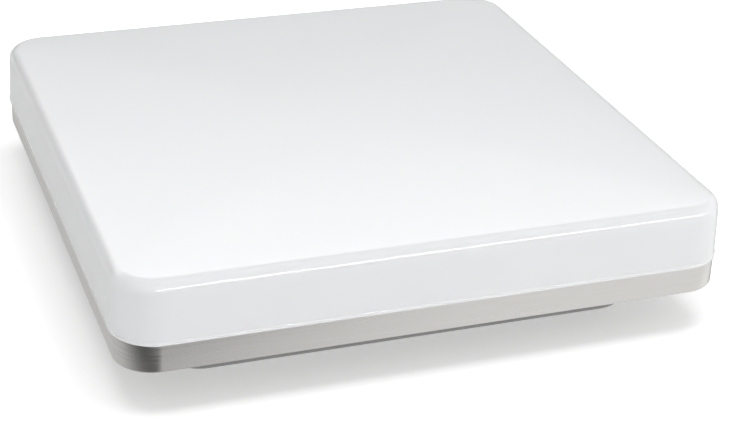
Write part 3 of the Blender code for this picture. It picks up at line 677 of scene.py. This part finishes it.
def build_screw(node, body, shank, pitch):
    """Pan-head screw with a cross recess; its size comes from the CAD node's box."""
    low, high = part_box(node)
    head = halves(low, high)[0]
    rise = 0.6 * head
    under = high.z - rise
    profile = [(shank * 0.25, low.z), (shank * 0.6, low.z + shank * 0.3)]
    turns = int((under - low.z - shank) / pitch)
    for turn in range(turns):
        z = low.z + shank * 0.5 + turn * pitch
        profile += [(shank * 0.84, z), (shank, z + pitch * 0.35), (shank, z + pitch * 0.5)]
    profile += [(shank * 0.9, under), (head * 0.96, under), (head, under + rise * 0.12)]
    for pull, drop in quarter(6)[:-1]:
        profile.append((head * (1 - 0.65 * pull), under + rise * (1 - 0.68 * drop)))
    profile.append((head * 0.3, high.z))
    centre = spot_of(node)
    screw = lathe(f"{node}_turned", profile, ZINC, centre=centre, steps=24)
    blade, reach, depth = head * 0.13, head * 0.62, rise * 0.7
    arms = []
    for turn in (0.6, 0.6 + math.pi / 2):
        bm = bmesh.new()
        add_block(bm, (-reach, -blade, -depth), (reach, blade, depth))
        for vert in bm.verts:
            if vert.co.z < 0:
                vert.co.x *= 0.3
                vert.co.y *= 0.6
        stand = Matrix.Translation((*centre, high.z)) @ Matrix.Rotation(turn, 4, "Z")
        bmesh.ops.transform(bm, verts=bm.verts, matrix=stand)
        arms.append(place("recess", bm))
    cut(screw, *arms)
    stand_for(screw, body, "zinc_steel", node)


# ---- Housing: driver ----
def ring_block(centre, half, radius, low, high, edge):
    """Loops of a rounded box with a rounded bottom edge."""
    loops = [inset(half, edge * pull, radius - edge * pull, low + edge * rise, centre)
             for rise, pull in quarter(4)]
    return [*loops, inset(half, 0, radius, high, centre)]


def build_driver():
    """Moulded case with fixing ears, lead slots and side ribs, and a lid with vents and finger notches."""
    case_low, case_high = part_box("driver_case")
    lid_low, lid_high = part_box("driver_lid")
    centre = middle_x, middle_y = spot_of("driver_lid")
    half = halves(lid_low, lid_high)
    seam, wall = case_high.z, 1.6 * MM
    loops = ring_block(centre, half, 3 * MM, case_low.z, seam, 0.9 * MM)
    loops += [inset(half, wall, 1.4 * MM, z, centre) for z in (seam, case_low.z + wall)]
    case = loft("driver_shell", loops, PLASTIC)
    screws = places_of("driver_screw", 2)
    ears, slots = [], []
    for x, y in screws:
        side = -1 if x < middle_x else 1
        near, far = sorted((middle_x + side * (half[0] - wall / 2), side * case_high.x))
        ears.append(((near, y - 5.5 * MM, 5.3 * MM), (far, y + 5.5 * MM, 7.3 * MM)))
        slots.append(slab(middle_x + side * half[0], middle_y - side * 12 * MM, *mm(3, 4.5, 10.8, 15.2)))
    grooves = [slab(middle_x + step * 12 * MM, middle_y + side * half[1], *mm(0.8, 0.25, 3), seam - 1.5 * MM)
               for step in range(-4, 5) for side in SIDES]
    fuse(case, blocks("ears", ears, bevel=0.5 * MM))
    cut(case, blocks("slots", slots, bevel=0.8 * MM), rods("ear_holes", screws, *mm(1.7, 4, 9)),
        blocks("grooves", grooves))
    stand_for(case, "housing", "white_plastic", "driver_case")

    plate, above = seam + GAP, lid_high.z + MM
    outer, lip, edge = wall + GAP, 1.2 * MM, 0.7 * MM
    steps = ((outer + lip, MM, plate), (outer + lip, MM, lid_low.z), (outer, lip, lid_low.z),
             (outer, lip, plate), (0, 3 * MM, plate))
    loops = [inset(half, pull, radius, z, centre) for pull, radius, z in steps]
    for pull, drop in quarter(4):
        loops.append(inset(half, pull * edge, 3 * MM - pull * edge, lid_high.z - edge * drop, centre))
    lid = loft("driver_top", loops, PLASTIC)
    vents = [slab(middle_x + step * 10 * MM, middle_y, *mm(1, 11), plate - MM, above)
             for step in range(-3, 4)]
    notches = [slab(middle_x + side * (half[0] - 9 * MM), middle_y, *mm(4, 3), lid_high.z - edge, above)
               for side in SIDES]
    cut(lid, blocks("vents", vents, bevel=edge), blocks("notches", notches, bevel=0.5 * MM))
    stand_for(lid, "housing", "white_plastic", "driver_lid")


# ---- Housing: terminals ----
def build_terminals():
    """Push-in block with a pocket and two wire funnels for each pole."""
    low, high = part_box("terminal_block")
    centre, half, above = spot_of("terminal_block"), halves(low, high), high.z + MM
    loops = ring_block(centre, half, 1.5 * MM, low.z, high.z - MM, 0.4 * MM)
    for pull, drop in quarter(4, 1):
        loops.append(inset(half, pull * MM, (1.5 - 0.6 * pull) * MM, high.z - MM * drop, centre))
    block = loft("terminal_body", loops, PLASTIC)
    pockets, grooves = [], []
    funnels = bmesh.new()
    for pole in POLES:
        x, y = spot_of(f"release_button_{pole}")
        button_low, button_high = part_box(f"release_button_{pole}")
        reach_x, reach_y = halves(button_low, button_high)
        pockets.append(slab(x, y, reach_x + GAP, reach_y + GAP, button_low.z - 1.8 * MM, above))
        for side in SIDES:
            wall = centre[0] + side * half[0]
            add_loft(funnels, [[(wall + side * depth, y + u, LEAD_HEIGHT + v)
                                for u, v, _ in circle(radius, 0, steps=20)]
                               for radius, depth in mm((1.9, -8.5), (1.9, -1.6), (2.7, 0), (2.7, 1))])
    for y in (centre[1] - 5.5 * MM, centre[1] + 5.5 * MM):
        grooves.append(slab(centre[0], y, half[0] + MM, 0.3 * MM, high.z - 0.8 * MM, above))
        grooves += [slab(wall, y, *mm(0.4, 0.3, 3), above) for wall in (low.x, high.x)]
    cut(block, blocks("pockets", pockets), place("funnels", funnels))
    cut(block, *[blocks("groove", [groove]) for groove in grooves])
    stand_for(block, "housing", "white_plastic", "terminal_block")


def build_buttons():
    """Each button has a rounded top with a slot for a screwdriver's tip."""
    for pole in POLES:
        node = f"release_button_{pole}"
        low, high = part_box(node)
        centre, half = spot_of(node), halves(low, high)
        loops = [inset(half, 0, 0.5 * MM, low.z, centre, 4)]
        edge = 0.6 * MM
        for pull, drop in quarter(4):
            radius = max(0.7 * MM - pull * edge, 0.3 * MM)
            loops.append(inset(half, pull * edge, radius, high.z - edge * drop, centre, 4))
        button = loft(f"button_{pole}", loops, ORANGE)
        slot = slab(*centre, half[0] - 0.9 * MM, 0.45 * MM, high.z - 0.7 * MM, high.z + MM)
        cut(button, blocks("slot", [slot]))
        stand_for(button, f"button_{pole}", "orange_plastic", node)


def build_earth():
    """Ring tag with a rolled crimp barrel."""
    low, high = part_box("earth_tag")
    centre = spot_of("earth_screw")
    top = low.z + 0.8 * MM
    ring = [(r * MM, z) for r, z in ((2.1, low.z), (4.2, low.z), (4.2, top), (2.1, top))]
    ring = soften(ring, [0.15 * MM] * 4, 2)
    tag = lathe("earth_ring", ring, BRASS, centre=centre, ring=True, steps=40)
    radius = (high.z - low.z) / 2 - 0.03 * MM
    start = centre[1] + 4.4 * MM
    path = [Vector((centre[0], start + (high.y - start) * share, low.z + radius + 0.03 * MM))
            for share in (0, 0.04, 0.3, 0.34, 0.6, 0.64, 0.96, 1)]
    swell = (0.75, 0.92, 1, 0.9, 0.9, 1, 1, 0.94)
    loops = [[point + Vector((x * radius * k, 0, y * radius * k)) for x, y in round_section(1)]
             for point, k in zip(path, swell)]
    neck = blocks("neck", [slab(centre[0], centre[1] + 4.25 * MM, *mm(1.5, 0.95),
                                low.z + 0.02 * MM, top - 0.02 * MM)])
    fuse(tag, neck, loft("barrel", loops))
    stand_for(tag, "housing", "tinned_brass", "earth_tag")


# ---- Leads ----
def supply_route(order):
    """Waypoints of the neutral (0) or live (1) lead, from the terminals to the driver."""
    pole = centre_of(f"release_button_{POLES[order + 1]}").y
    apart = 3.4 * MM
    spread = order * apart
    run = 97 * MM - spread
    slot = centre_of("driver_lid").y - 12 * MM + (0.5 - order) * apart
    start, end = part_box("terminal_block")[1].x - 4 * MM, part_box("driver_lid")[1].x - 3 * MM
    return [(start, pole, LEAD_HEIGHT), (start + 8 * MM, pole, LEAD_HEIGHT),
            (run, pole + 18 * MM, LEAD_HEIGHT), (run, 29 * MM - spread, 9 * MM),
            (end + 16 * MM, slot, SLOT_HEIGHT), (end, slot, SLOT_HEIGHT)]


def build_leads():
    """Single-core leads inside the pan, and the twin lead that runs up to the LED boards."""
    core = round_section(1.3 * MM)
    supply = ("neutral_lead", BLUE, "blue_insulation"), ("live_lead", BROWN, "brown_insulation")
    for order, (name, finish, slot) in enumerate(supply):
        wire = sweep(f"{name}_wire", smooth_path(supply_route(order)), core, finish)
        stand_for(wire, "housing", slot, name)
    tag = centre_of("earth_screw")
    barrel_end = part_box("earth_tag")[1].y + GAP
    pole = centre_of("release_button_earth").y
    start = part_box("terminal_block")[1].x - 4 * MM
    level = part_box("earth_tag")[0].z + 1.3 * MM
    route = [(start, pole, LEAD_HEIGHT), (start + 7 * MM, pole, LEAD_HEIGHT),
             (tag.x + 2 * MM, pole - 6 * MM, LEAD_HEIGHT),
             (tag.x, barrel_end + 7.2 * MM, level), (tag.x, barrel_end, level)]
    wire = sweep("earth_wire", smooth_path(route), core, EARTH_WIRE)
    stand_for(wire, "housing", "green_insulation", "earth_lead")

    x, y, z = centre_of("tray_grommet")
    exit_x, exit_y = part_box("driver_lid")[0].x + 3 * MM, centre_of("driver_lid").y + 12 * MM
    row, socket = centre_of("led_board_4").y, -SOCKET_X - SOCKET_HALF - GAP
    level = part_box("led_board_4")[1].z - 1.6 * MM
    route = [
        (exit_x, exit_y, SLOT_HEIGHT), (exit_x - 14 * MM, exit_y, SLOT_HEIGHT),
        (x + 16 * MM, exit_y - 12 * MM, 16 * MM), (x + 2 * MM, exit_y - 2 * MM, 21 * MM), (x, y, 28 * MM),
        (x, y, z), (x - MM, y, z + 3.2 * MM), (x - 12 * MM, y + MM, level + 0.8 * MM),
        (socket - 7 * MM, row - 9 * MM, level), (socket - 4.5 * MM, row, level), (socket - MM, row, level),
    ]
    plug = blocks("led_lead_plug", [plug_at(socket, row, level, -1)], NYLON, bevel=0.25 * MM)
    stand_for(plug, "tray", "white_plastic")
    lead = sweep("led_twin_lead", smooth_path(route, 9), twin_section(0.85 * MM, 0.78 * MM), WHITE_WIRE)
    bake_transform(lead)
    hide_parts("led_lead", "feed_lead")


def plug_at(x, y, z, side):
    """Corners of the plug that stands out of a socket, towards side."""
    near, far = sorted((x - side * 0.2 * MM, x + side * 2.6 * MM))
    return (near, y - 1.9 * MM, z - MM), (far, y + 1.9 * MM, z + MM)


def build_links():
    """Pairs of fine wires from board to board, with a plug at each end."""
    for index in range(1, 4):
        node = f"board_link_{index}"
        low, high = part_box(node)
        side = 1 if low.x > 0 else -1
        start, bulge = (low.x, high.x) if side > 0 else (high.x, low.x)
        bulge -= side * 1.2 * MM
        first, last = low.y + MM, high.y - MM
        level = (low.z + high.z) / 2
        leave = start + side * 3 * MM
        for number, offset in enumerate(mm(-0.75, 0.75), 1):
            run = bulge - side * offset
            route = [(start, first + offset), (leave, first + offset), (run, first + 8 * MM),
                     (run, last - 8 * MM), (leave, last - offset), (start, last - offset)]
            path = smooth_path([(x, y, level) for x, y in route])
            wire = sweep(f"{node}_core_{number}", path, round_section(0.6 * MM, 12), WHITE_WIRE)
            stand_for(wire, "tray", "white_insulation")
        plugs = [plug_at(start, y, level, side) for y in (first, last)]
        plugs = blocks(f"{node}_plugs", plugs, NYLON, bevel=0.25 * MM)
        stand_for(plugs, "tray", "white_plastic", node)


# ---- Tray ----
def press_rib(y, reach, width, foot, levels):
    """A long rib with round ends; its loops draw in as they rise."""
    return loft("rib", [inset((reach, width), pull, width - pull - 0.01 * MM, foot + z, (0, y), 8)
                        for pull, z in levels])


def build_tray():
    """Folded tray with pressed ribs between the boards and holes for its screws and the lead."""
    low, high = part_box("led_tray")
    half, corner, gauge, centre = high.x, 16 * MM, 0.8 * MM, 3 * MM
    floor = low.z + gauge
    profile = [(centre, low.z), (half, low.z), (half, high.z), (half - gauge, high.z), (half - gauge, floor),
               (centre, floor)]
    points = soften(profile, mm(0, 1.5, 0.35, 0.35, 0.7, 0), steps=6, closed=False)
    loops = [square(out, max(corner - (half - out), corner * out / half * 0.5), z) for out, z in points]
    tray = loft("tray_shell", loops, PAINT)
    for y in mm(-66, 0, 66):
        fuse(tray, press_rib(y, *mm(110, 4), floor, mm((0, -0.3), (0, 0.15), (0.3, 0.45), (0.8, 0.6))))
        cut(tray, press_rib(y, *mm(109.4, 3.4), low.z, mm((0, -1), (0, 0.1), (0.3, 0.45), (0.8, 0.6))))
    through = low.z - MM, floor + MM
    cut(tray, rods("screw_holes", places_of("tray_screw", 4), 2.3 * MM, *through),
        rods("board_holes", places_of("board_screw", 8), 1.3 * MM, *through),
        rods("lead_hole", [spot_of("tray_grommet")], 4.5 * MM, *through))
    stand_for(tray, "tray", "white_paint", "led_tray")

    low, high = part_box("tray_grommet")
    under, over = low.z + MM, high.z - MM
    bore, neck, flange = mm(2.2, 4.2, 6.2)
    profile = [(bore, low.z), (flange, low.z), (flange, under), (neck, under), (neck, over), (flange, over),
               (flange, high.z), (bore, high.z)]
    points = soften(profile, mm(0.4, 0.4, 0.3, 0.1, 0.1, 0.3, 0.4, 0.4))
    collar = lathe("tray_collar", points, RUBBER, centre=spot_of("tray_grommet"), ring=True)
    stand_for(collar, "tray", "grey_rubber", "tray_grommet")


def build_board(index):
    """Board with tracks, LED packages, sockets and its two screw holes."""
    node = f"led_board_{index}"
    low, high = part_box(node)
    row, top = (low.y + high.y) / 2, low.z + BOARD_THICK
    edge = 0.12 * MM
    loops = [inset(mm(132, 8), pull, MM, z, (0, row))
             for pull, z in ((edge, low.z), (0, low.z + edge), (0, top - edge), (edge, top))]
    panel = loft(f"board_panel_{index}", loops, MASK)
    holes = [(x, y) for x, y in places_of("board_screw", 8) if abs(y - row) < MM]
    cut(panel, rods("holes", holes, 1.3 * MM, low.z - MM, top + MM))
    stand_for(panel, "tray", "led_board", node)

    spots = [(n - (LED_COUNT - 1) / 2) * LED_PITCH for n in range(LED_COUNT)]
    tracks = bmesh.new()
    lanes = [((x + after) / 2, row, LED_PITCH / 2 - 2.2 * MM, 0.9 * MM) for x, after in zip(spots, spots[1:])]
    lanes += [(0, row + side * 6.2 * MM, 118 * MM, 0.7 * MM) for side in SIDES]
    for lane in lanes:
        add_block(tracks, *slab(*lane, top - 0.1 * MM, top + 0.05 * MM), 0.03 * MM, 1)
    stand_for(place(f"board_tracks_{index}", tracks, TRACK), "tray", "led_board")

    leds = bmesh.new()
    for x in spots:
        add_led(leds, x, row, top)
    stand_for(place(f"board_leds_{index}", leds, PAD, PLASTIC, PHOSPHOR), "tray", "led_board")

    sockets, mouths, latches = (
        [slab(side * (SOCKET_X + out), row, half_x, half_y, bottom, above) for side in SIDES]
        for out, half_x, half_y, bottom, above in (
            (0, SOCKET_HALF, SOCKET_HALF, top - 0.1 * MM, high.z),
            (2 * MM, 1.5 * MM, 2.2 * MM, top + 0.45 * MM, high.z - 0.45 * MM),
            (-0.25 * MM, 1.25 * MM, MM, high.z - 0.35 * MM, high.z + MM)))
    body = blocks(f"board_sockets_{index}", sockets, NYLON, bevel=0.3 * MM)
    cut(body, blocks("mouths", mouths), blocks("latches", latches))
    stand_for(body, "tray", "white_plastic")


def add_led(bm, x, y, top):
    """Two pads, a white tub with rounded edges and its phosphor fill, very slightly domed."""
    marks = [len(bm.faces)]
    for side in SIDES:
        corners = slab(x + side * 1.625 * MM, y, *mm(0.525, 1.1), top - 0.1 * MM, top + 0.09 * MM)
        add_block(bm, *corners, 0.05 * MM, 1)
    marks.append(len(bm.faces))
    tub = (0, 0.02), (0, 0.62), (0.12, 0.78), (0.4, 0.78), (0.5, 0.6)
    fill = (0.52, 0.55), (0.52, 0.66), (0.75, 0.72), (1.0, 0.74)
    for radius, levels in ((0.35 * MM, tub), (0.3 * MM, fill)):
        add_loft(bm, [inset(LED_HALF, pull, radius, top + z, (x, y), 3) for pull, z in mm(*levels)])
        marks.append(len(bm.faces))
    bm.faces.ensure_lookup_table()
    for finish, (first, end) in enumerate(zip(marks, marks[1:])):
        for face in bm.faces[first:end]:
            face.material_index = finish


def build_clip(index):
    """Spring strip with a folded nose, narrower at both ends, with rounded edges."""
    turn = math.radians(90 * (index - 1))
    joint = next(j for j in frame["joints"] if j["child"] == f"clip_{index}")
    bends = mm((0, 0), (0, 3), (0, 6.5), (0.1, 8.1), (0.9, 9.1), (1.65, 9.8), (1.7, 10.5), (0.7, 11.7))
    path = smooth_path([(0, y, z) for y, z in bends], 4)
    gauge, half = 0.5 * MM, 6 * MM
    loops = []
    for i, point in enumerate(path):
        ahead = (path[min(i + 1, len(path) - 1)] - path[max(i - 1, 0)]).normalized()
        out = Vector((0, ahead.z, -ahead.y)) * gauge / 2
        rise = point.z / bends[-1][1]
        width = half - 1.2 * MM * max(0, rise - 0.85) / 0.15 - MM * max(0, 0.08 - rise) / 0.08
        flat = width - gauge / 3
        section = ((-flat, 1), (flat, 1), (width, 0.6), (width, -0.6),
                   (flat, -1), (-flat, -1), (-width, -0.6), (-width, 0.6))
        loops.append([point + out * share + Vector((x, 0, 0)) for x, share in section])
    clip = loft(f"clip_strip_{index}", loops, SPRING, sharp=50)
    clip.matrix_world = Matrix.Translation(joint["pos_m"]) @ Matrix.Rotation(turn, 4, "Z")
    stand_for(clip, f"clip_{index}", "spring_steel", f"cover_clip_{index}")


for build in (build_cover, build_frame, build_pan, build_rivets, build_posts, build_cable_grommet,
              build_driver, build_terminals, build_buttons, build_earth, build_leads, build_tray):
    build()
for number in range(1, 5):
    build_board(number)
    build_clip(number)
build_links()
for number in range(1, 9):
    build_screw(f"board_screw_{number}", "tray", *mm(1, 0.4))
for number in range(1, 5):
    build_screw(f"tray_screw_{number}", "tray", *mm(1.9, 0.7))
for number in (1, 2):
    build_screw(f"driver_screw_{number}", "housing", *mm(1.4, 0.5))
build_screw("earth_screw", "housing", *mm(1.5, 0.5))


# ---- CAD nodes inside the driver keep their shape and take a finish ----
for name, finish in (("driver_board", GREEN_BOARD), ("driver_transformer", FERRITE),
                     ("driver_input_capacitor", SLEEVE), ("driver_output_capacitor", SLEEVE)):
    for holder in frame["nodes"][name].material_slots:
        holder.material = finish


# ---- Studio ----
def direction(azimuth, elevation):
    """Unit vector; azimuth runs anticlockwise from +X."""
    azimuth, elevation = math.radians(azimuth), math.radians(elevation)
    level = math.cos(elevation)
    return Vector((level * math.cos(azimuth), level * math.sin(azimuth), math.sin(elevation)))


def build_floor():
    """A lit white table: it glows a little, and metal doesn't mirror it."""
    size = 6.0
    floor = blocks("studio_floor", [((-size, -size, -0.02), (size, size, -GAP))])
    white = Finish("studio_white", (0.85, 0.85, 0.85), 0.8, Specular_IOR_Level=0.0,
                   Emission_Color=(1, 1, 1, 1), Emission_Strength=0.34)
    white.tint(white.noise(2, 2), (0.845, 0.845, 0.845), (0.855, 0.855, 0.855))
    floor.data.materials.append(white.material)
    floor.visible_glossy = False


class Surroundings(NodeTree):
    """A world built from soft patches of light; the camera itself sees plain white."""

    def __init__(self):
        world = bpy.data.worlds.new("studio")
        bpy.context.scene.world = world
        world.use_nodes = True
        self.tree = world.node_tree
        self.background = self.tree.nodes["Background"]
        self.background.inputs["Color"].default_value = (1, 1, 1, 1)
        self.way = self.add("ShaderNodeTexCoord").outputs["Generated"]
        self.total = None

    def math(self, operation, first, second):
        node = self.add("ShaderNodeMath", operation=operation)
        for socket, value in zip(node.inputs, (first, second)):
            self.link(value, socket)
        return node.outputs["Value"]

    def ramp(self, value, start, end, strength):
        return self.remap(value, start, end, 0, strength, interpolation_type="SMOOTHSTEP")

    def towards(self, aim):
        """Cosine of the angle between each direction and aim."""
        node = self.add("ShaderNodeVectorMath", operation="DOT_PRODUCT")
        self.link(self.way, node.inputs[0])
        node.inputs[1].default_value = aim
        return node.outputs["Value"]

    def gather(self, light):
        self.total = light if self.total is None else self.math("ADD", self.total, light)

    def add_glow(self, azimuth, elevation, inner, outer, strength, side=0):
        """A round soft patch between two angles; side -1 or 1 keeps it below or above the horizon."""
        edges = math.cos(math.radians(outer)), math.cos(math.radians(inner))
        light = self.ramp(self.towards(direction(azimuth, elevation)), *edges, strength)
        if side:
            light = self.math("MULTIPLY", light, self.ramp(self.towards((0, 0, side)), -0.01, 0.01, 1))
        self.gather(light)

    def add_ring(self, low, middle, high, strength, azimuth=None, inner=0, outer=0):
        """A level ring of light, brightest at its middle elevation; an azimuth keeps only an arc of it."""
        height = self.towards((0, 0, 1))
        cosine = math.cos(math.radians(middle))
        low, middle, high = (math.sin(math.radians(e)) for e in (low, middle, high))
        rise, fall = self.ramp(height, low, middle, strength), self.ramp(height, high, middle, 1)
        light = self.math("MULTIPLY", rise, fall)
        if azimuth is not None:
            edges = (cosine * math.cos(math.radians(angle)) for angle in (outer, inner))
            light = self.math("MULTIPLY", light, self.ramp(self.towards(direction(azimuth, 0)), *edges, 1))
        self.gather(light)

    def finish(self):
        seen = self.add("ShaderNodeLightPath").outputs["Is Camera Ray"]
        self.link(self.math("MAXIMUM", self.total, seen), self.background.inputs["Strength"])


def build_world():
    """Pale light all round and a soft arc behind; below the horizon, what the nickel mirrors."""
    around = Surroundings()
    around.add_ring(6, 22, 38, 0.24)
    around.add_ring(20, 34, 46, 2.2, azimuth=95, inner=20, outer=60)
    around.add_glow(332, -25, 46, 52, 0.38, side=-1)
    around.add_glow(330, -25, 30, 50, 0.43, side=-1)
    around.add_glow(35, -25, 30, 60, 0.12, side=-1)
    around.add_glow(110, -25, 30, 110, 0.55, side=-1)
    around.add_glow(0, -90, 85, 90, 0.1)
    around.finish()


def add_softbox(name, azimuth, elevation, width, height, radiance, diffuse=True, gloss=True):
    """An even panel, sized as seen from one metre; it may only light things or only be mirrored."""
    reach = 4.0
    lamp = bpy.data.lights.new(name, "AREA")
    lamp.shape = "RECTANGLE"
    lamp.size, lamp.size_y = width * reach, height * reach
    lamp.energy = radiance * math.pi * lamp.size * lamp.size_y
    obj = add_object(name, lamp)
    way = direction(azimuth, elevation)
    obj.location = way * reach
    obj.rotation_euler = way.to_track_quat("Z", "Y").to_euler()
    obj.visible_camera = False
    obj.visible_diffuse = diffuse
    obj.visible_glossy = gloss


def build_camera():
    """Looks at the light from its front left, from above."""
    distance, roll = 0.9575, math.radians(1.906)
    target = Vector((0, 0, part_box("trim_frame")[1].z))
    back = direction(-109.5, 25.81)
    data = bpy.data.cameras.new("camera")
    data.lens = 88.0
    data.sensor_width = 36.0
    data.shift_x, data.shift_y = 0.0447, -0.0682
    camera = add_object("camera", data)
    turn = back.to_track_quat("Z", "Y").to_matrix().to_4x4()
    camera.matrix_world = Matrix.Translation(target + back * distance) @ turn @ Matrix.Rotation(roll, 4, "Z")
    bpy.context.scene.camera = camera


build_floor()
build_world()
add_softbox("front_box", 284, 57, 2.6, 2.0, 0.8, gloss=False)
add_softbox("right_box", 5, 20, 1.3, 0.6, 0.7)
add_softbox("overhead_box", 272, 84, 0.8, 0.4, 4.7, gloss=False)
add_softbox("edge_strip", 293, 25, 1.3, 0.03, 62, diffuse=False)
build_camera()
bpy.context.scene.view_settings.view_transform = "Standard"
